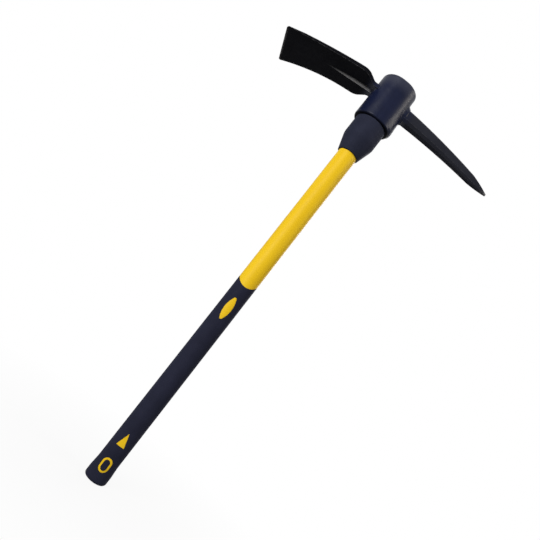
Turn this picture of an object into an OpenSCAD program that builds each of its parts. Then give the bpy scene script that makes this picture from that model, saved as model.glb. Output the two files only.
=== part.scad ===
// Pick mattock: a forged head bonded to a moulded fibreglass handle.
// Millimetres. The origin is the middle of the butt. +Z runs up the handle to the head,
// +X points along the pick and -X along the adze.

/* [Handle] */
// Length of the whole tool, from the butt to the top of the eye
tool_length = 696.5; // [480:1:1000]
// Diameter of the fibreglass core
core_d = 20; // [14:0.5:24]
// Wall of the jacket where the grip covers it
jacket_wall = 2.5; // [1.5:0.1:4]
// Cover of the jacket over the butt end of the core
jacket_end = 3; // [1.5:0.5:8]

/* [Grip] */
// Wall of the grip on the straight handle
grip_wall = 2.5; // [1.5:0.1:4]
// Height of the grip's upper edge at the middle of each tongue
grip_length = 311.5; // [220:0.5:420]
// How much wider than the shaft the round tongue in the grip's upper edge is, on each side
tongue_spread = 1; // [0.5:0.5:8]
// Thickness of the grip over the butt
grip_end = 4; // [2:0.5:8]
// How far the butt stands proud of the straight grip
butt_flare = 1; // [0.4:0.1:3]
// Length of the flared butt
butt_length = 13; // [8:0.5:13]
// Length over which the flare runs out into the straight grip
butt_runout = 14; // [4:1:30]
// Rounding of the butt's edge
butt_round = 4; // [1:0.5:7]

/* [Grip windows] */
// Middle of the long oval window, below the grip's upper edge
oval_drop = 36.5; // [30:0.5:90]
// Length of the oval window
oval_length = 35; // [20:0.5:44]
// Width of the oval window
oval_width = 11.4; // [7:0.1:14]
// Radius of the oval window's two ends
oval_end_r = 2.2; // [1:0.1:3]
// Base of the triangular window, from the butt
arrow_z = 53.5; // [46:0.5:120]
// Length of the triangular window
arrow_length = 19.5; // [10:0.5:30]
// Width of the triangular window at its base
arrow_width = 12; // [6:0.1:14]
// Middle of the oblong ring, from the butt
ring_z = 25.5; // [22:0.5:30]
// Length of the oblong ring
ring_length = 20; // [16:0.5:22]
// Width of the oblong ring
ring_width = 13.6; // [10:0.1:15]
// Width of the ring's band
ring_band = 2.8; // [1.5:0.1:3.5]
// Width of the gates under the ring that feed its filled middle
gate_width = 3; // [1.5:0.1:4]
// Height of the gates under the ring
gate_height = 0.9; // [0.4:0.1:1.2]
// Depth of the window faces below the grip's surface
window_recess = 0.3; // [0.1:0.1:1]

/* [Collar] */
// Length of the collar below the eye
collar_length = 58; // [40:1:90]
// Diameter of the collar under the eye
collar_d = 50.4; // [48:0.2:53]
// Length of the collar's straight part under the eye
collar_straight = 31; // [15:1:36]
// Wall of the collar over the jacket's shoulder
collar_wall = 3.6; // [2:0.1:4]
// Wall of the collar at its lower edge
collar_lip = 2.3; // [1:0.1:4]
// Rounding of the collar's lower edge
lip_round = 1; // [0.3:0.1:1]
// Rounding where the collar's cone meets its straight part
knee_round = 24; // [5:1:40]

/* [Eye] */
// Height of the eye
eye_height = 79; // [68:1:110]
// Depth of the eye's bore at its foot, front to back
bore_depth = 40; // [34:0.5:41]
// How much longer the eye is along the head than it is deep
eye_oval = 6; // [2:0.5:16]
// Growth of the bore's radius from foot to top
bore_taper = 2; // [0.5:0.1:3]
// Wall of the eye at its foot
eye_wall = 7.2; // [6:0.1:12]
// Loss of the outer radius from foot to top
eye_draft = 0.8; // [0.2:0.1:2]
// Rounding of the eye's top edge
eye_top_round = 3.2; // [1:0.1:3.5]
// Rounding of the eye's foot
eye_foot_round = 4; // [0.5:0.1:5]
// How far the eye's wall swells out under the pick
swell = 2.6; // [1:0.1:5]
// Radius of the swell at its foot
swell_r = 24; // [20:0.5:25]
// Height of the swell's foot above the eye's foot
swell_rise = 1; // [0.5:0.5:6]
// Rounding of the swell's foot
swell_round = 6; // [2:0.5:8]
// Thickness of the epoxy between the tenon and the bore
bond_gap = 1.2; // [0.5:0.1:2.5]
// Epoxy over the end of the tenon
bond_cap = 4; // [1:0.5:10]
// Depth of the epoxy's face below the eye's top
bond_recess = 2; // [0.5:0.1:6]

/* [Adze] */
// Reach of the adze, from the eye's axis to the cutting edge
adze_reach = 178; // [140:0.5:240]
// Height of the adze's underside above the eye's foot, at the eye's axis
adze_rise = 46.6; // [40:0.2:52]
// Radius of the adze's curve from the eye to the edge
adze_curve_r = 550; // [350:5:1500]
// Width of the cutting edge
edge_width = 89; // [74:0.5:130]
// Width of the blade behind the shoulders
waist_width = 69; // [56:0.5:72]
// Width of the blade's root at the eye
root_width = 33; // [28:0.5:38]
// Distance from the eye's axis at which the shoulders begin to slant in
shoulder_x = 50.5; // [48:0.5:60]
// Rounding of the shoulders
shoulder_r = 18; // [6:0.5:20]
// Distance from the eye's axis at which the shoulders meet the root
throat_x = 34.5; // [33:0.5:38]
// Radius of the hollow between the shoulders and the root
throat_r = 8; // [3:0.5:10]
// Rounding of the cutting edge's corners
corner_round = 4; // [1:0.5:10]
// Thickness of the blade at the shoulders
blade_root_t = 6; // [4.5:0.1:10]
// Thickness of the blade where the bevel starts
blade_tip_t = 3; // [2:0.1:4]
// Length of the bevel
bevel_length = 24; // [8:1:40]
// Thickness of the cutting edge
edge_t = 0.8; // [0.4:0.1:1.5]
// Radius of the rib where it leaves the eye
rib_r = 5; // [4:0.1:8]
// Height of the rib's axis above the blade's underside, at the eye
rib_lift = 3; // [1:0.1:3.5]
// Distance from the eye's axis at which the rib has run out
rib_reach = 106; // [85:1:130]
// Radius of the rib's thin end
rib_end_r = 0.8; // [0.4:0.1:2]
// Height of the neck where the blade leaves the eye
neck_height = 11; // [9:0.5:14]
// Width of that neck
neck_width = 28; // [24:0.5:30]
// Radius of the fillet between the neck and the eye
neck_fillet = 7; // [4:0.5:9]

/* [Pick] */
// Reach of the pick, from the eye's axis to the point
pick_reach = 200; // [150:1:280]
// Height of the pick's middle above the eye's foot, at the eye's axis
pick_rise = 46.2; // [36:0.2:52]
// Radius of the pick's curve from the eye to the point
pick_curve_r = 1110; // [600:10:3000]
// Side of the pick's square section, measured at the eye's axis
pick_root = 23.2; // [16:0.2:25]
// Side of the square section where the point starts
pick_heel = 13.4; // [10:0.2:14]
// Length of the point
point_length = 34; // [24:1:40]
// Radius of the point's swelling flanks
point_r = 260; // [240:10:600]
// Width of the blunted point
point_width = 3; // [1:0.1:4]
// Share of the square's side that the chamfer on each long edge takes
pick_chamfer = 0.2; // [0.1:0.02:0.26]
// Radius of the fillet between the pick and the eye
pick_fillet = 14; // [2:0.5:16]

/* [Hidden] */

$fn = 96;
// Fineness of the wide arcs in the arms
arc_fn = 256;
// Number of views that shape the flare at the root of each arm
flare_views = 8;
// Depth inside the eye's drafted wall at which a flare or swell runs out
flare_sink = 0.6;
// Radius of a hollow in the blade's side, as a share of the radius that would meet the side smoothly
tightness = 0.88;
// Radius of a round on the blade's plan, as a share of the radius that would meet the sides smoothly
fullness = 1.004;
// Depth by which a hollow in the blade's plan bites past the corners that it runs between
bite = 0.05;
// Room by which a cutting shape runs past what it cuts
over = 2;

// Handle radii, from the core outwards
core_r = core_d / 2;
under_r = core_r + jacket_wall;
shaft_r = under_r + grip_wall;
butt_r = shaft_r + butt_flare;
face_r = shaft_r - window_recess;
tongue_r = shaft_r + tongue_spread;
oval_z = grip_length - oval_drop;

// Heights along the handle
jacket_z = grip_end;
core_z = jacket_z + jacket_end;
eye_z = tool_length - eye_height;
collar_z = eye_z - collar_length;
knee_z = eye_z - collar_straight;
tenon_top = tool_length - bond_recess - bond_cap;

// Collar and the shoulder of the jacket under it
collar_r = collar_d / 2;
shoulder_in_r = collar_r - collar_wall;
lip_r = shaft_r + collar_lip;

// Eye: an oval of two half rounds, spread apart along the head
spread = eye_oval / 2;
bore_r = bore_depth / 2;
eye_r = bore_r + eye_wall;
eye_top_r = eye_r - eye_draft;
eye_side_x = eye_r + spread;

// Heights of the adze and the pick
adze_z = eye_z + adze_rise;
pick_z = eye_z + pick_rise;
heel_x = pick_reach - point_length;
bevel_x = adze_reach - bevel_length;
// Room that the eye's wall leaves for a fillet above the pick
pick_room = eye_height - pick_rise - pick_root / 2 - 2 * eye_top_round;

// Drop of an arc of radius r at the distance x from its crown
function drop(x, r) = r - sqrt(r * r - x * x);
// Height of the adze's underside at the distance x from the eye's axis
function underside(x) = adze_z - drop(x, adze_curve_r);
// Centre height of a circle on the eye's axis through two points of an outline
function axis_centre(p, q) = (p * p - q * q) / (2 * (p.y - q.y));
// Centre, below the chord, of the circle of radius r through two points
function arc_centre(p, q, r) =
    (p + q) / 2 + [q.y - p.y, p.x - q.x] / norm(q - p) * sqrt(r * r - (q - p) * (q - p) / 4);
// Direction of a vector
function unit(v) = v / norm(v);

// Direction that halves the corner at p, between its neighbours a and b
function inward(a, p, b) = unit(unit(a - p) + unit(b - p));
// Half of the angle at that corner
function half_angle(a, p, b) = acos(unit(a - p) * unit(b - p)) / 2;
// Centre of the circle of radius r that touches both sides of the corner
function touch_centre(a, p, b, r) = p + inward(a, p, b) * r / sin(half_angle(a, p, b));
// Point at which that circle touches the side towards a
function touch(a, p, b, r) = p + unit(a - p) * r / tan(half_angle(a, p, b));

// What rounding the corner at p, between its neighbours a and b, takes off an outline. A fullness
// above 1 makes a round that crosses the sides at a slight angle
module corner_waste(a, p, b, r, fullness = 1) {
    difference() {
        polygon([touch(a, p, b, r), p - inward(a, p, b) * r, touch(b, p, a, r)]);
        translate(touch_centre(a, p, b, r))
            circle(r = r * fullness);
    }
}

// Turns a half outline, radius across and height up, into an oval spread along X
module oval_turn(spread) {
    for (side = [0, 1])
        mirror([side, 0, 0])
            translate([spread, 0, 0])
                rotate(-90)
                    rotate_extrude(angle = 180)
                        children();
    for (side = [0, 1])
        mirror([0, side, 0])
            rotate([90, 0, 90])
                linear_extrude(height = 2 * spread, center = true)
                    children();
}

// Stands an outline drawn in X and Z up and runs it through the handle from front to back
module through_y(depth) {
    rotate([90, 0, 0])
        linear_extrude(height = depth, center = true)
            children();
}

// Head

// Half outline of the eye's outside
module eye_outline() {
    foot = [eye_r, eye_z];
    top = [eye_top_r, tool_length];
    difference() {
        polygon([[0, eye_z], foot, top, [0, tool_length]]);
        corner_waste([0, eye_z], foot, top, eye_foot_round);
        corner_waste(foot, top, [0, tool_length], eye_top_round);
    }
}

// Half outline of the tapered bore, drawn in by inset, between two heights
module bore_outline(inset, low, high) {
    slope = bore_taper / eye_height;
    low_r = bore_r - inset + (low - eye_z) * slope;
    high_r = bore_r - inset + (high - eye_z) * slope;
    polygon([[0, low], [low_r, low], [high_r, high], [0, high]]);
}

// The swell of the eye's wall under the pick: a cone that sinks into the wall towards the top
module eye_swell() {
    low = eye_z + swell_rise;
    high = tool_length - 2 * eye_top_round;
    foot = [swell_r, low];
    top = [swell_r - swell - eye_draft - flare_sink, high];
    translate([eye_side_x + swell - swell_r, 0, 0])
        rotate_extrude()
            difference() {
                polygon([[0, low], foot, top, [0, high]]);
                corner_waste([0, low], foot, top, swell_round);
            }
}

// Side view of the blade: two arcs that close towards a bevelled edge
module adze_side() {
    root = [shoulder_x, underside(shoulder_x) + blade_root_t];
    heel = [bevel_x, underside(bevel_x) + blade_tip_t];
    edge = [adze_reach, underside(adze_reach) + edge_t];
    top_centre = axis_centre(root, heel);
    past = edge + (edge - heel);
    difference() {
        intersection() {
            translate([0, eye_z])
                square([adze_reach, eye_height]);
            translate([0, top_centre])
                circle(r = norm(root - [0, top_centre]), $fn = arc_fn);
        }
        translate([0, adze_z - adze_curve_r])
            circle(r = adze_curve_r, $fn = arc_fn);
        polygon([heel, past, [past.x, tool_length], [heel.x, tool_length]]);
    }
}

// Plan of the blade: a straight root, slanting shoulders and flared sides. The side view ends the
// blade at the eye's axis, and the plan runs past it
module adze_plan() {
    waist = waist_width / 2;
    root = [-over, root_width / 2];
    throat = [throat_x, root.y];
    shoulder = [shoulder_x, waist];
    // The sides stay straight until the rounding of the shoulders has ended
    bend = [shoulder_x + shoulder_r, waist];
    corner = [adze_reach, edge_width / 2];
    run = corner - bend;
    flare_r = tightness * run * run / (2 * run.y);
    hollow = [touch(root, throat, shoulder, throat_r), touch(shoulder, throat, root, throat_r)];
    hollow_r = tightness * throat_r;
    side = [root, hollow[0], hollow[1], shoulder, bend, corner];
    difference() {
        polygon(concat(side, [for (step = [len(side) - 1 : -1 : 0]) [side[step].x, -side[step].y]]));
        for (hand = [0, 1])
            mirror([0, hand]) {
                translate(arc_centre(hollow[1], hollow[0], hollow_r) - bite * inward(root, throat, shoulder))
                    circle(r = hollow_r);
                translate(arc_centre(corner, bend, flare_r) - [0, bite])
                    circle(r = flare_r, $fn = arc_fn);
                corner_waste(throat, shoulder, bend, shoulder_r, fullness);
                corner_waste([adze_reach, 0], corner, bend, corner_round, fullness);
            }
    }
}

// Rib: a slim cone from the eye that sinks into the underside of the blade
module adze_rib() {
    start = [eye_side_x, underside(eye_side_x) + rib_lift];
    end = [rib_reach, underside(rib_reach) + rib_end_r];
    along = end - start;
    taper = (rib_r - rib_end_r) / norm(along);
    // The cone starts inside the eye's wall, so that it leaves the wall all round
    inside = eye_wall;
    translate([start.x, 0, start.y])
        rotate([0, atan2(along.x, along.y), 0])
            translate([0, 0, -inside])
                cylinder(r1 = rib_r + taper * inside, r2 = rib_end_r, h = norm(along) + inside);
    translate([0, 0, start.y])
        root_flare(neck_height / 2, neck_width / 2, neck_fillet);
}

// Trumpet between the round eye and an arm along +X, half as high and half as wide as given. Each view
// turned about the arm shows the eye's wall as an arc that is straight from the side and round in plan,
// and a fillet on it
module root_flare(high, wide, fillet) {
    intersection_for (step = [0 : flare_views - 1])
        let (turn = 180 * step / flare_views)
            rotate([turn, 0, 0])
                through_y(4 * eye_r)
                    flare_view(norm([high * cos(turn), wide * sin(turn)]), fillet, sin(turn));
}

module flare_view(r, fillet, roundness) {
    sunk = eye_draft + flare_sink;
    wall_r = (eye_r - sunk) / max(roundness * roundness, 0.01);
    wall = [eye_side_x - sunk - wall_r, 0];
    reach = sqrt((wall_r + fillet) * (wall_r + fillet) - (r + fillet) * (r + fillet));
    high = wall + [reach, r + fillet];
    low = wall + [reach, -r - fillet];
    difference() {
        polygon([wall, high, low]);
        translate(high)
            circle(r = fillet);
        translate(low)
            circle(r = fillet);
    }
}

// The adze, drawn along +X
module adze() {
    intersection() {
        through_y(2 * edge_width)
            adze_side();
        translate([0, 0, eye_z])
            linear_extrude(height = eye_height)
                adze_plan();
    }
    adze_rib();
}

// Outline of the pick seen from a direction turned about its length: 0 is the side view, 90 the
// plan, and the views between them cut the chamfers, which turn into the point after the flats do.
// Only the side view ends at the eye's axis and at the point; the others run past both
module pick_view(turn, ease) {
    root = [0, pick_root / 2 * ease];
    heel = [0, pick_heel / 2 * ease];
    tip = [0, point_width / 2 * ease];
    past = turn == 0 ? 0 : over / 2;
    lean = cos(turn);
    turn_x = abs(turn) == 45 ? heel_x + over : heel_x;
    heel_mid = [turn_x, -drop(turn_x, pick_curve_r) * lean];
    tip_mid = [pick_reach, -drop(pick_reach, pick_curve_r) * lean];
    difference() {
        intersection() {
            translate([-past, -pick_reach])
                square([pick_reach + 2 * past, 2 * pick_reach]);
            pick_bar(root, heel_mid, heel, lean);
        }
        point_waste(heel_mid + heel, tip_mid + tip, 1);
        point_waste(heel_mid - heel, tip_mid - tip, -1);
    }
}

// The pick's tapered bar in a view: between two arcs, or two straight lines in plan
module pick_bar(root, heel_mid, heel, lean) {
    if (lean == 0) {
        far = (heel_mid.x + 2 * point_length) / heel_mid.x;
        near = -2 * over / heel_mid.x;
        ends = [root + (heel - root) * near, root + (heel - root) * far];
        polygon([
            [heel_mid.x * near, ends[0].y],
            [heel_mid.x * far, ends[1].y],
            [heel_mid.x * far, -ends[1].y],
            [heel_mid.x * near, -ends[0].y]
        ]);
    } else {
        r = pick_curve_r / lean;
        difference() {
            translate(arc_centre(root, heel_mid + heel, r))
                circle(r = r, $fn = arc_fn);
            translate(arc_centre(-root, heel_mid - heel, r))
                circle(r = r, $fn = arc_fn);
        }
    }
}

// What shaping the point takes off one side of a view: all that lies outside a swelling flank. It
// starts a little before the heel and runs on past the tip, so that only the flank's arc cuts the bar
module point_waste(heel, tip, hand) {
    out = [0, hand * 2 * pick_root];
    near = heel - [over, 0];
    inside = tip - [0, hand * point_width / 2];
    past = inside + [2 * over, 0];
    difference() {
        polygon([near, inside, past, past + out, near + out]);
        translate(hand > 0 ? arc_centre(heel, tip, point_r) : arc_centre(tip, heel, point_r))
            circle(r = point_r, $fn = arc_fn);
    }
}

module pick() {
    corner_ease = sqrt(2) * (1 - pick_chamfer);
    translate([0, 0, pick_z]) {
        intersection_for (turn = [0, 90, 45, -45])
            rotate([turn, 0, 0])
                through_y(4 * pick_root)
                    pick_view(turn, turn % 90 == 0 ? 1 : corner_ease);
        translate([0, 0, -drop(eye_side_x, pick_curve_r)])
            root_flare(pick_root / 2, pick_root / 2, min(pick_fillet, pick_room));
    }
}

module forged_head() {
    color("#1b1d2a")
        difference() {
            union() {
                oval_turn(spread)
                    eye_outline();
                eye_swell();
                mirror([1, 0, 0])
                    adze();
                pick();
            }
            oval_turn(spread)
                bore_outline(0, eye_z - over, tool_length + over);
        }
}

// Handle

module fibreglass_core() {
    color("#d8cf9c")
        translate([0, 0, core_z])
            cylinder(r = core_r, h = tenon_top - core_z);
}

// The part of the handle that the grip leaves bare: all of it above a round tongue
module bare_region() {
    middle = grip_length + tongue_r;
    through_y(4 * tongue_r) {
        translate([0, middle])
            circle(r = tongue_r);
        translate([-tongue_r, middle])
            square([2 * tongue_r, tool_length]);
    }
}

// Long oval of four arcs: two flat sides and two tight ends
module oval_window() {
    side = oval_width / 2;
    end_z = oval_length / 2 - oval_end_r;
    side_r = (side * side + end_z * end_z - oval_end_r * oval_end_r) / (2 * (side - oval_end_r));
    meet_z = end_z * side_r / (side_r - oval_end_r);
    translate([0, oval_z]) {
        intersection() {
            intersection_for (hand = [-1, 1])
                translate([-hand * (side_r - side), 0])
                    circle(r = side_r);
            translate([-side, -meet_z])
                square([2 * side, 2 * meet_z]);
        }
        for (hand = [-1, 1])
            translate([0, hand * end_z])
                circle(r = oval_end_r);
    }
}

module arrow_window() {
    polygon([
        [-arrow_width / 2, arrow_z],
        [arrow_width / 2, arrow_z],
        [0, arrow_z + arrow_length]
    ]);
}

// Oblong with round ends, drawn in by inset
module oblong(inset) {
    r = ring_width / 2 - inset;
    end_z = (ring_length - ring_width) / 2;
    translate([0, ring_z]) {
        square([2 * r, 2 * end_z], center = true);
        for (hand = [-1, 1])
            translate([0, hand * end_z])
                circle(r = r);
    }
}

// Solids that fill the windows on the front half, out to the radius reach
module window_fill(reach) {
    front = [0, -2 * shaft_r, 0];
    intersection() {
        translate([0, 0, jacket_z])
            cylinder(r = reach, h = grip_length);
        union() {
            translate(front / 2)
                through_y(2 * shaft_r) {
                    oval_window();
                    arrow_window();
                }
            difference() {
                translate(front / 2)
                    through_y(2 * shaft_r)
                        oblong(0);
                translate(front / 2)
                    through_y(2 * shaft_r + over)
                        oblong(ring_band);
                translate([0, 0, ring_z])
                    cube([gate_width, 2 * (under_r + gate_height), ring_length + over], center = true);
            }
        }
    }
}

// The same windows on the front and the back
module windows(reach) {
    window_fill(reach);
    mirror([0, 1, 0])
        window_fill(reach);
}

module handle_jacket() {
    color("#f0c020")
        difference() {
            union() {
                translate([0, 0, jacket_z])
                    cylinder(r = under_r, h = eye_z - jacket_z);
                intersection() {
                    translate([0, 0, jacket_z])
                        cylinder(r = shaft_r, h = eye_z - jacket_z);
                    bare_region();
                }
                translate([0, 0, collar_z + collar_lip])
                    cylinder(r1 = shaft_r, r2 = shoulder_in_r, h = knee_z - collar_z - collar_lip);
                translate([0, 0, knee_z])
                    cylinder(r = shoulder_in_r, h = eye_z - knee_z);
                oval_turn(spread)
                    bore_outline(bond_gap, eye_z, tenon_top);
                windows(face_r);
            }
            translate([0, 0, core_z])
                cylinder(r = core_r, h = tool_length);
        }
}

// Half outline of the grip: a round-edged flared butt that runs out into the straight handle
module grip_outline() {
    edge = [butt_r, 0];
    flare = [butt_r, butt_length];
    straight = [shaft_r, butt_length + butt_runout];
    crown = grip_length + tongue_r;
    difference() {
        polygon([[0, 0], edge, flare, straight, [shaft_r, crown], [0, crown]]);
        corner_waste([0, 0], edge, flare, butt_round);
    }
}

module grip_sleeve() {
    color("#22242f")
        difference() {
            rotate_extrude()
                grip_outline();
            translate([0, 0, jacket_z])
                cylinder(r = under_r, h = tool_length);
            bare_region();
            windows(butt_r + over);
        }
}

module head_collar() {
    lip = [lip_r, collar_z];
    knee = [collar_r, knee_z];
    crown = [collar_r, eye_z];
    color("#22242f")
        rotate_extrude()
            difference() {
                polygon([
                    [shaft_r, collar_z],
                    lip,
                    knee,
                    crown,
                    [shoulder_in_r, eye_z],
                    [shoulder_in_r, knee_z],
                    [shaft_r, collar_z + collar_lip]
                ]);
                corner_waste([shaft_r, collar_z], lip, knee, lip_round);
                corner_waste(lip, knee, crown, knee_round);
            }
}

module epoxy_bond() {
    color("#15161c")
        difference() {
            oval_turn(spread)
                bore_outline(0, eye_z, tool_length - bond_recess);
            oval_turn(spread)
                bore_outline(bond_gap, eye_z - over, tenon_top);
        }
}

forged_head();
fibreglass_core();
handle_jacket();
grip_sleeve();
head_collar();
epoxy_bond();
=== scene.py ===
"""Looks of the pick mattock: paint, moulded plastic, soft grip, resin, floor, light and camera.

Metres, in the frame of the solids: +Z up the handle, +X along the pick, -X along the adze.
"""
import math

import bmesh
import bpy
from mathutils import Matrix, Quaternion, Vector

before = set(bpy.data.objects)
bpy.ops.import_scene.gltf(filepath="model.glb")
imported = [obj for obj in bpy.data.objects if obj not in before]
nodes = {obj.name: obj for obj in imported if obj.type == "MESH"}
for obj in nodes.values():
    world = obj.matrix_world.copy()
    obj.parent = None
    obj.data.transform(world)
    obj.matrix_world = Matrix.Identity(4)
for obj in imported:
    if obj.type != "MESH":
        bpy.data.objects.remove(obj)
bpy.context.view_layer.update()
scene = bpy.context.scene

# Camera: where it stands, what it looks at, how far it leans, and its lens on a 36 mm sensor
CAMERA_PLACE = Vector((-0.0016, -0.7020, 0.2302))
CAMERA_AIM = Vector((0.0135, 0.0, 0.3538))
CAMERA_LEAN = math.radians(37.83)
CAMERA_LENS = 34.02
CAMERA_SENSOR = 36.0
CAMERA_NEAREST = 0.01

# Floor: its side, its matte grey, and how white it shows at the butt and from a way off
FLOOR_SIZE = 12.0
FLOOR_GREY = 0.5
FLOOR_WHITE_AT_BUTT = 0.92
FLOOR_WHITE_FROM = 0.4

# Light of the surroundings on the object. What shows behind it is plain white
WORLD_FILL = 0.18

# Lamps: name, place, aim, size, watts and tint
NEUTRAL = (1.0, 1.0, 1.0)
HANDLE_MIDDLE = (0.0, 0.0, 0.40)
SHAFT_TOP = (0.0, 0.0, 0.60)
LAMPS = (
    ("key", (-1.1, -1.6, 1.0), HANDLE_MIDDLE, (0.9, 0.9), 37.0, NEUTRAL),
    ("flank", (0.75, -0.12, 1.08), SHAFT_TOP, (0.40, 0.30), 4.0, (1.0, 0.93, 0.84)),
    ("back", (0.8, 1.7, 1.0), HANDLE_MIDDLE, (1.2, 1.2), 18.0, NEUTRAL),
)

# Stretches of the head that its finish follows, each from the first place to the second
ARM_ROOT = (0.026, 0.048)        # either way along X, from the eye's paint to the arm's
ADZE_TO_PICK = (-0.02, 0.02)     # along X, from one arm's paint to the other's
EYE_TOP_HIGHLIGHT = (0.672, 0.692)        # up Z, from plain paint to the painted highlight on the eye's top
EYE_FOOT_SHADE = (0.6178, 0.6218)     # up Z, from painted shade at the eye's foot to plain paint
CUTTING_EDGE_HIGHLIGHT = (-0.1745, -0.1780)   # along X, from paint to the painted highlight on the cutting edge
POINT_HIGHLIGHT = (0.1860, 0.1995)    # along X, from paint to the painted highlight on the point
RIB_RUN = (-0.118, -0.036)       # along X, from the rib's thin end to its root
RIB_BEGINS = (-0.030, -0.036)    # along X, from the eye to the painted highlight strip on the rib
RIB_STRIP = (0.0014, 0.0042)     # half width of that strip at the thin end and at the root
RIB_CREST = (1.0, 0.35)          # share of that half width, from paint to the strip's brightest middle
RIB_HIGHLIGHT_RISE = (0.0, 0.55)           # share of the rib's run, from paint to the full painted highlight
FACING_DOWN = (-0.1, -0.3)       # part of a face's direction along Z, from sideways to downwards
EDGE_ROUNDING = 0.0016           # radius by which the head's sharp edges look rounded
EDGE_LEAN = (0.02, 0.20)         # lean of a rounded edge's normal, from plain paint to the painted edge highlight

# Colours, in pairs of dark and light where they vary
EYE_NAVY = ((0.0044, 0.0064, 0.0195), (0.0070, 0.0100, 0.0310))
# The adze's paint is darker than the pick's: painted shade
ADZE_SHADED_BLACK = ((0.0050, 0.0050, 0.0066), (0.0076, 0.0077, 0.0098))
PICK_BLACK = ((0.0170, 0.0176, 0.0240), (0.0240, 0.0250, 0.0330))
# Painted highlight on the top of the eye
TOP_HIGHLIGHT_GREY = (0.034, 0.037, 0.058)
# Painted shade round the eye's foot
FOOT_SHADE_BLACK = (0.0018, 0.0018, 0.0036)
# Painted highlight along the edges and at the cutting edge and point
EDGE_HIGHLIGHT_GREY = (0.165, 0.163, 0.166)
# Painted highlight on the crest of the rib
RIB_HIGHLIGHT_GREY = (0.300, 0.297, 0.302)
JACKET_YELLOW = ((0.765, 0.480, 0.0100), (0.840, 0.545, 0.0160))
GRIP_BLACK = ((0.0150, 0.0160, 0.0290), (0.0205, 0.0220, 0.0400))
COLLAR_BLACK = ((0.0160, 0.0180, 0.0310), (0.0220, 0.0245, 0.0430))
RESIN_AMBER = ((0.020, 0.014, 0.008), (0.046, 0.032, 0.017))
GLASS_STRAW = ((0.50, 0.45, 0.25), (0.68, 0.63, 0.40))

# Values between which most of a noise lies, and those that colours and painted highlights go by
NOISE_BULK = (0.3, 0.7)
PAINT_CLOUD = (0.32, 0.70)
PLASTIC_CLOUD = (0.30, 0.72)
TOP_HIGHLIGHT_CLOUD = (0.2, 0.7)
EDGE_HIGHLIGHT_PATCHES = (0.36, 0.66)
RIB_HIGHLIGHT_PATCHES = (0.25, 0.60)
BUBBLES = (0.10, 0.22)

# How much of the eye's top the painted highlight covers where it lies, and how much of the rib's
# strip holds its painted highlight
TOP_HIGHLIGHT_COVER = (0.5, 1.0)
RIB_HIGHLIGHT_COVER = (0.6, 1.0)

# Roughness, from smooth to dull, and what is added to it from the eye to the arms
HEAD_ROUGH = (0.32, 0.42)
ARM_DULLNESS = (0.0, 0.34)
JACKET_ROUGH = (0.42, 0.52)
SKIN_ROUGH = (0.56, 0.70)
RESIN_ROUGH = (0.22, 0.36)
GLASS_ROUGH = (0.40, 0.60)

# Specular level: a plain one, the one from the eye to the arms, and the share left in the painted
# shade at the eye's foot
HEAD_SHINE = 0.06
EYE_TO_ARM_SHINE = (0.10, 0.012)
FOOT_SHADE_SHINE = (0.1, 1.0)
JACKET_SHINE = 0.10
SKIN_SHINE = 0.03

# Depths of relief
FORGE_DENTS = 0.0005
FORGE_GRAIN = 0.00001
JACKET_FLOW = 0.00003
JACKET_GRAIN = 0.000001
SKIN_PEBBLES = 0.00006
SKIN_GRAIN = 0.00003
RESIN_RIPPLE = 0.0005
RESIN_BUBBLES = 0.0001
GLASS_STRANDS = 0.0001


# Node helpers


def put(tree, kind, **inputs):
    """Adds a node and sets its inputs."""
    node = tree.nodes.new(kind)
    for name, value in inputs.items():
        node.inputs[name.replace("_", " ")].default_value = value
    return node


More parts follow.
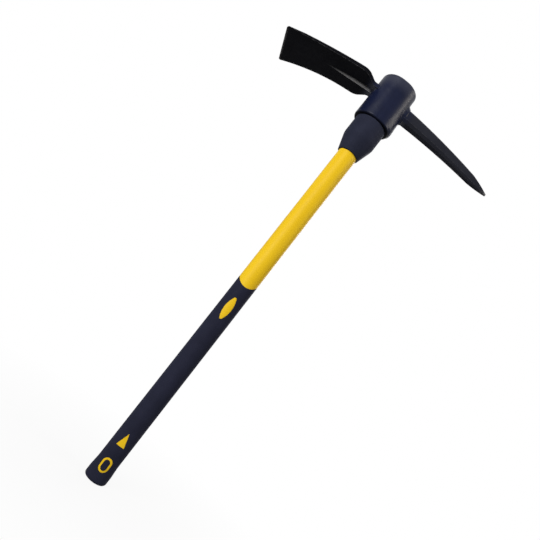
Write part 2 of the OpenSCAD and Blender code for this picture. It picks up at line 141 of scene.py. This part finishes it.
class Finish:
    """A procedural material: a Principled shader and the nodes that feed it."""

    def __init__(self, name):
        self.material = bpy.data.materials.new(name)
        self.material.use_nodes = True
        self.tree = self.material.node_tree
        self.shader = self.tree.nodes["Principled BSDF"]
        self.place = self.add("ShaderNodeTexCoord").outputs["Object"]

    def add(self, kind, **settings):
        node = self.tree.nodes.new(kind)
        for key, value in settings.items():
            setattr(node, key, value)
        return node

    def link(self, source, target):
        self.tree.links.new(source, target)

    def set(self, **sockets):
        """Constants, straight on the shader's own sockets."""
        for name, value in sockets.items():
            self.shader.inputs[name.replace("_", " ")].default_value = value

    def drawn_out(self, along_handle):
        """Object coordinates that make a pattern long and thin along the handle."""
        node = put(self.tree, "ShaderNodeMapping", Scale=(1.0, 1.0, along_handle))
        self.link(self.place, node.inputs["Vector"])
        return node.outputs["Vector"]

    def noise(self, scale, detail, rough, place=None):
        """A soft noise: its fineness, its layers of detail and how strong the finer ones are."""
        node = put(self.tree, "ShaderNodeTexNoise", Scale=scale, Detail=detail, Roughness=rough)
        self.link(place or self.place, node.inputs["Vector"])
        return node.outputs["Fac"]

    def cells(self, scale):
        node = self.add("ShaderNodeTexVoronoi", feature="SMOOTH_F1")
        node.inputs["Scale"].default_value = scale
        self.link(self.place, node.inputs["Vector"])
        return node.outputs["Distance"]

    def clouds(self, value, colours, ends):
        """A colour that drifts from dark to light while a value goes from end to end."""
        node = self.add("ShaderNodeValToRGB")
        for point, position, colour in zip(node.color_ramp.elements, ends, colours):
            point.position = position
            point.color = (*colour, 1.0)
        self.link(value, node.inputs["Fac"])
        return node.outputs["Color"]

    def span(self, value, ends, results=(0.0, 1.0)):
        """Maps a stretch of values onto another, smoothly."""
        node = self.add("ShaderNodeMapRange", interpolation_type="SMOOTHSTEP")
        names = ("From Min", "From Max", "To Min", "To Max")
        for name, number in zip(names, (*ends, *results)):
            node.inputs[name].default_value = number
        self.link(value, node.inputs["Value"])
        return node.outputs["Result"]

    def shade(self, share, results):
        """A number that goes from the first result to the second as a share goes from 0 to 1."""
        return self.span(share, (0.0, 1.0), results)

    def math(self, operation, first, second=0.0):
        node = self.add("ShaderNodeMath", operation=operation)
        for socket, value in zip(node.inputs, (first, second)):
            if isinstance(value, float):
                socket.default_value = value
            else:
                self.link(value, socket)
        return node.outputs["Value"]

    def times(self, first, second):
        return self.math("MULTIPLY", first, second)

    def most(self, first, second):
        return self.math("MAXIMUM", first, second)

    def mix(self, share, first, second):
        """A colour that goes from the first to the second as a share goes from 0 to 1."""
        node = self.add("ShaderNodeMix", data_type="RGBA")
        self.link(share, node.inputs["Factor"])
        for name, value in (("A", first), ("B", second)):
            socket = next(s for s in node.inputs if s.name == name and s.type == "RGBA")
            if isinstance(value, tuple):
                socket.default_value = (*value, 1.0)
            else:
                self.link(value, socket)
        return next(s for s in node.outputs if s.type == "RGBA")

    def part(self, vector, letter):
        node = self.add("ShaderNodeSeparateXYZ")
        self.link(vector, node.inputs["Vector"])
        return node.outputs[letter]

    def along(self, letter):
        """Place on the object, along an axis."""
        return self.part(self.place, letter)

    def plain_normal(self):
        return self.add("ShaderNodeNewGeometry").outputs["Normal"]

    def facing(self, letter):
        """Part of the surface's own direction along an axis."""
        return self.part(self.plain_normal(), letter)

    def rounded(self, radius):
        """Normal that rounds the edges, and how far it leans from the plain one: 0 off an edge."""
        node = self.add("ShaderNodeBevel", samples=6)
        node.inputs["Radius"].default_value = radius
        normal = node.outputs["Normal"]
        likeness = self.add("ShaderNodeVectorMath", operation="DOT_PRODUCT")
        self.link(normal, likeness.inputs[0])
        self.link(self.plain_normal(), likeness.inputs[1])
        return normal, self.math("SUBTRACT", 1.0, likeness.outputs["Value"])

    def relief(self, *layers, normal=None):
        """Bump layers of (height, depth), laid one on the other, on a normal if one is given."""
        for height, depth in layers:
            node = put(self.tree, "ShaderNodeBump", Strength=1.0, Distance=depth)
            self.link(height, node.inputs["Height"])
            if normal is not None:
                self.link(normal, node.inputs["Normal"])
            normal = node.outputs["Normal"]
        self.link(normal, self.shader.inputs["Normal"])

    def feed(self, colour, roughness):
        self.link(colour, self.shader.inputs["Base Color"])
        self.link(roughness, self.shader.inputs["Roughness"])


# Finishes


def forge_paint():
    """Navy black paint on a forging: half glossy on the eye, dull on the arms, with painted
    highlights on the edges, rib and eye top, and painted shade on the adze and round the eye's
    foot.
    """
    f = Finish("black_forge_paint")
    dents = f.noise(60, 3, 0.5)
    grain = f.noise(1100, 2, 0.6)
    cloud = f.noise(24, 4, 0.6)
    patches = f.noise(240, 4, 0.7)
    length = f.along("X")
    height = f.along("Z")

    # Paint, of one colour on the eye, where the arm's share is 0, and others on the two arms; the
    # adze's is made darker, painted shade standing for its unlit underside
    arm = f.span(f.math("ABSOLUTE", length), ARM_ROOT)
    shaded_adze_or_pick = f.mix(f.span(length, ADZE_TO_PICK),
                         f.clouds(cloud, ADZE_SHADED_BLACK, PAINT_CLOUD),
                         f.clouds(cloud, PICK_BLACK, PAINT_CLOUD))
    paint = f.mix(arm, f.clouds(cloud, EYE_NAVY, PAINT_CLOUD), shaded_adze_or_pick)

    # A painted highlight lightens the top of the eye, and painted shade darkens it round its foot,
    # above the collar
    top_highlight = f.times(f.span(height, EYE_TOP_HIGHLIGHT), f.math("SUBTRACT", 1.0, arm))
    paint = f.mix(f.times(top_highlight, f.span(cloud, TOP_HIGHLIGHT_CLOUD, TOP_HIGHLIGHT_COVER)), paint, TOP_HIGHLIGHT_GREY)
    outside_foot_shade = f.most(f.span(height, EYE_FOOT_SHADE), arm)
    paint = f.mix(outside_foot_shade, FOOT_SHADE_BLACK, paint)

    # Painted highlights lie in patches along the edges and at the cutting edge and point
    normal, lean = f.rounded(EDGE_ROUNDING)
    tips = f.most(f.span(length, CUTTING_EDGE_HIGHLIGHT), f.span(length, POINT_HIGHLIGHT))
    rim = f.most(tips, f.span(lean, EDGE_LEAN))
    paint = f.mix(f.times(rim, f.span(patches, EDGE_HIGHLIGHT_PATCHES)), paint, EDGE_HIGHLIGHT_GREY)

    # A painted highlight also lies in a strip under the blade, on the crest of the rib, which
    # widens to the rib's root
    along_rib = f.span(length, RIB_RUN)
    across_rib = f.math("DIVIDE", f.math("ABSOLUTE", f.along("Y")), f.shade(along_rib, RIB_STRIP))
    under_blade = f.times(f.span(f.facing("Z"), FACING_DOWN), f.span(length, RIB_BEGINS))
    strip = f.times(f.span(across_rib, RIB_CREST), under_blade)
    rib = f.times(strip, f.span(along_rib, RIB_HIGHLIGHT_RISE))
    paint = f.mix(f.times(rib, f.span(patches, RIB_HIGHLIGHT_PATCHES, RIB_HIGHLIGHT_COVER)), paint, RIB_HIGHLIGHT_GREY)

    # The plain specular level stands in wherever the linked one is dropped
    satin = f.span(f.noise(150, 4, 0.6), NOISE_BULK, HEAD_ROUGH)
    f.feed(paint, f.math("ADD", satin, f.shade(arm, ARM_DULLNESS)))
    f.set(Specular_IOR_Level=HEAD_SHINE)
    # The painted shade at the eye's foot also lowers the specular level there
    shine = f.times(f.shade(arm, EYE_TO_ARM_SHINE), f.shade(outside_foot_shade, FOOT_SHADE_SHINE))
    f.link(shine, f.shader.inputs["Specular IOR Level"])
    f.relief((dents, FORGE_DENTS), (grain, FORGE_GRAIN), normal=normal)
    return f.material


def jacket_plastic():
    """Yellow moulded plastic with faint flow streaks along the handle."""
    f = Finish("yellow_jacket_plastic")
    flow = f.noise(70, 2, 0.5, f.drawn_out(0.08))
    grain = f.noise(1500, 2, 0.5)
    f.feed(f.clouds(flow, JACKET_YELLOW, PLASTIC_CLOUD),
           f.span(f.noise(300, 3, 0.6), NOISE_BULK, JACKET_ROUGH))
    f.set(Specular_IOR_Level=JACKET_SHINE)
    f.relief((flow, JACKET_FLOW), (grain, JACKET_GRAIN))
    return f.material


def soft_rubber(name, colours):
    """Navy black soft skin with the fine grain of an eroded mould."""
    f = Finish(name)
    cloud = f.noise(34, 4, 0.6)
    pebbles = f.cells(1500)
    grain = f.noise(2600, 2, 0.6)
    f.feed(f.clouds(cloud, colours, PLASTIC_CLOUD),
           f.span(f.noise(220, 3, 0.6), NOISE_BULK, SKIN_ROUGH))
    f.set(Specular_IOR_Level=SKIN_SHINE)
    f.relief((pebbles, SKIN_PEBBLES), (grain, SKIN_GRAIN))
    return f.material


def cast_resin():
    """Dark amber resin with a slow ripple and small bubbles."""
    f = Finish("amber_resin")
    ripple = f.noise(90, 3, 0.5)
    bubbles = f.span(f.cells(700), BUBBLES)
    f.feed(f.clouds(ripple, RESIN_AMBER, NOISE_BULK), f.span(ripple, NOISE_BULK, RESIN_ROUGH))
    f.relief((ripple, RESIN_RIPPLE), (bubbles, RESIN_BUBBLES))
    return f.material


def drawn_fibreglass():
    """Pale drawn fibreglass with long strands."""
    f = Finish("drawn_fibreglass")
    strands = f.noise(900, 3, 0.6, f.drawn_out(0.02))
    f.feed(f.clouds(strands, GLASS_STRAW, NOISE_BULK), f.span(strands, NOISE_BULK, GLASS_ROUGH))
    f.relief((strands, GLASS_STRANDS))
    return f.material


def dress(node, material):
    """Gives a solid its finish in every slot."""
    slots = nodes[node].data.materials
    for index in range(len(slots)):
        slots[index] = material
    if not len(slots):
        slots.append(material)


# Floor, light and camera


def seen_ray(tree):
    """1 for rays that show a background: straight to the camera, mirrored or passed through."""
    path = tree.nodes.new("ShaderNodeLightPath")
    total = path.outputs["Is Camera Ray"]
    for name in ("Is Glossy Ray", "Is Transmission Ray"):
        most = tree.nodes.new("ShaderNodeMath")
        most.operation = "MAXIMUM"
        tree.links.new(total, most.inputs[0])
        tree.links.new(path.outputs[name], most.inputs[1])
        total = most.outputs["Value"]
    return total


def blended(tree, share, first, second, end):
    """Ends a tree in a mix of two shaders."""
    blend = tree.nodes.new("ShaderNodeMixShader")
    for source, target in zip((share, first, second), blend.inputs):
        tree.links.new(source, target)
    tree.links.new(blend.outputs["Shader"], tree.nodes.new(end).inputs["Surface"])


def pale_floor():
    """A floor under the butt. The camera sees it mostly plain white, with a faint shadow."""
    mesh = bpy.data.meshes.new("floor")
    form = bmesh.new()
    bmesh.ops.create_grid(form, x_segments=1, y_segments=1, size=FLOOR_SIZE / 2)
    form.to_mesh(mesh)
    form.free()
    floor = bpy.data.objects.new("floor", mesh)
    scene.collection.objects.link(floor)
    material = bpy.data.materials.new("pale_floor")
    material.use_nodes = True
    tree = material.node_tree
    tree.nodes.clear()
    matte = put(tree, "ShaderNodeBsdfDiffuse", Color=(FLOOR_GREY, FLOOR_GREY, FLOOR_GREY, 1.0))
    white = put(tree, "ShaderNodeEmission", Strength=1.0)
    away = tree.nodes.new("ShaderNodeVectorMath")
    away.operation = "LENGTH"
    tree.links.new(tree.nodes.new("ShaderNodeTexCoord").outputs["Object"], away.inputs[0])
    fade = put(tree, "ShaderNodeMapRange", From_Min=0.0, From_Max=FLOOR_WHITE_FROM,
               To_Min=FLOOR_WHITE_AT_BUTT, To_Max=1.0)
    tree.links.new(away.outputs["Value"], fade.inputs["Value"])
    share = tree.nodes.new("ShaderNodeMath")
    share.operation = "MULTIPLY"
    tree.links.new(seen_ray(tree), share.inputs[0])
    tree.links.new(fade.outputs["Result"], share.inputs[1])
    blended(tree, share.outputs["Value"], matte.outputs["BSDF"], white.outputs["Emission"],
            "ShaderNodeOutputMaterial")
    mesh.materials.append(material)


def white_world():
    """A white background, and a weaker white light on the object."""
    world = bpy.data.worlds.new("studio")
    scene.world = world
    world.use_nodes = True
    tree = world.node_tree
    tree.nodes.clear()
    fill, white = (put(tree, "ShaderNodeBackground", Color=(*NEUTRAL, 1.0), Strength=strength)
                   for strength in (WORLD_FILL, 1.0))
    blended(tree, seen_ray(tree), fill.outputs["Background"], white.outputs["Background"],
            "ShaderNodeOutputWorld")


def facing_from(place, aim):
    """Turn that points a lamp or camera at its aim."""
    return (Vector(aim) - Vector(place)).to_track_quat("-Z", "Y")


def soft_lamp(name, place, aim, size, power, tint):
    lamp = bpy.data.lights.new(name, "AREA")
    lamp.shape = "RECTANGLE"
    lamp.size, lamp.size_y = size
    lamp.energy = power
    lamp.color = tint
    holder = bpy.data.objects.new(name, lamp)
    holder.location = place
    holder.rotation_euler = facing_from(place, aim).to_euler()
    scene.collection.objects.link(holder)


def photo_camera():
    lens = bpy.data.cameras.new("photo_camera")
    lens.lens = CAMERA_LENS
    lens.sensor_width = CAMERA_SENSOR
    lens.clip_start = CAMERA_NEAREST
    camera = bpy.data.objects.new("photo_camera", lens)
    lean = Quaternion((0.0, 0.0, 1.0), CAMERA_LEAN)
    camera.rotation_mode = "QUATERNION"
    camera.rotation_quaternion = facing_from(CAMERA_PLACE, CAMERA_AIM) @ lean
    camera.location = CAMERA_PLACE
    scene.collection.objects.link(camera)
    scene.camera = camera


dress("forged_head", forge_paint())
dress("handle_jacket", jacket_plastic())
dress("grip_sleeve", soft_rubber("soft_grip_rubber", GRIP_BLACK))
dress("head_collar", soft_rubber("soft_collar_rubber", COLLAR_BLACK))
dress("epoxy_bond", cast_resin())
dress("fibreglass_core", drawn_fibreglass())

pale_floor()
white_world()
for lamp in LAMPS:
    soft_lamp(*lamp)
photo_camera()
scene.view_settings.view_transform = "Standard"
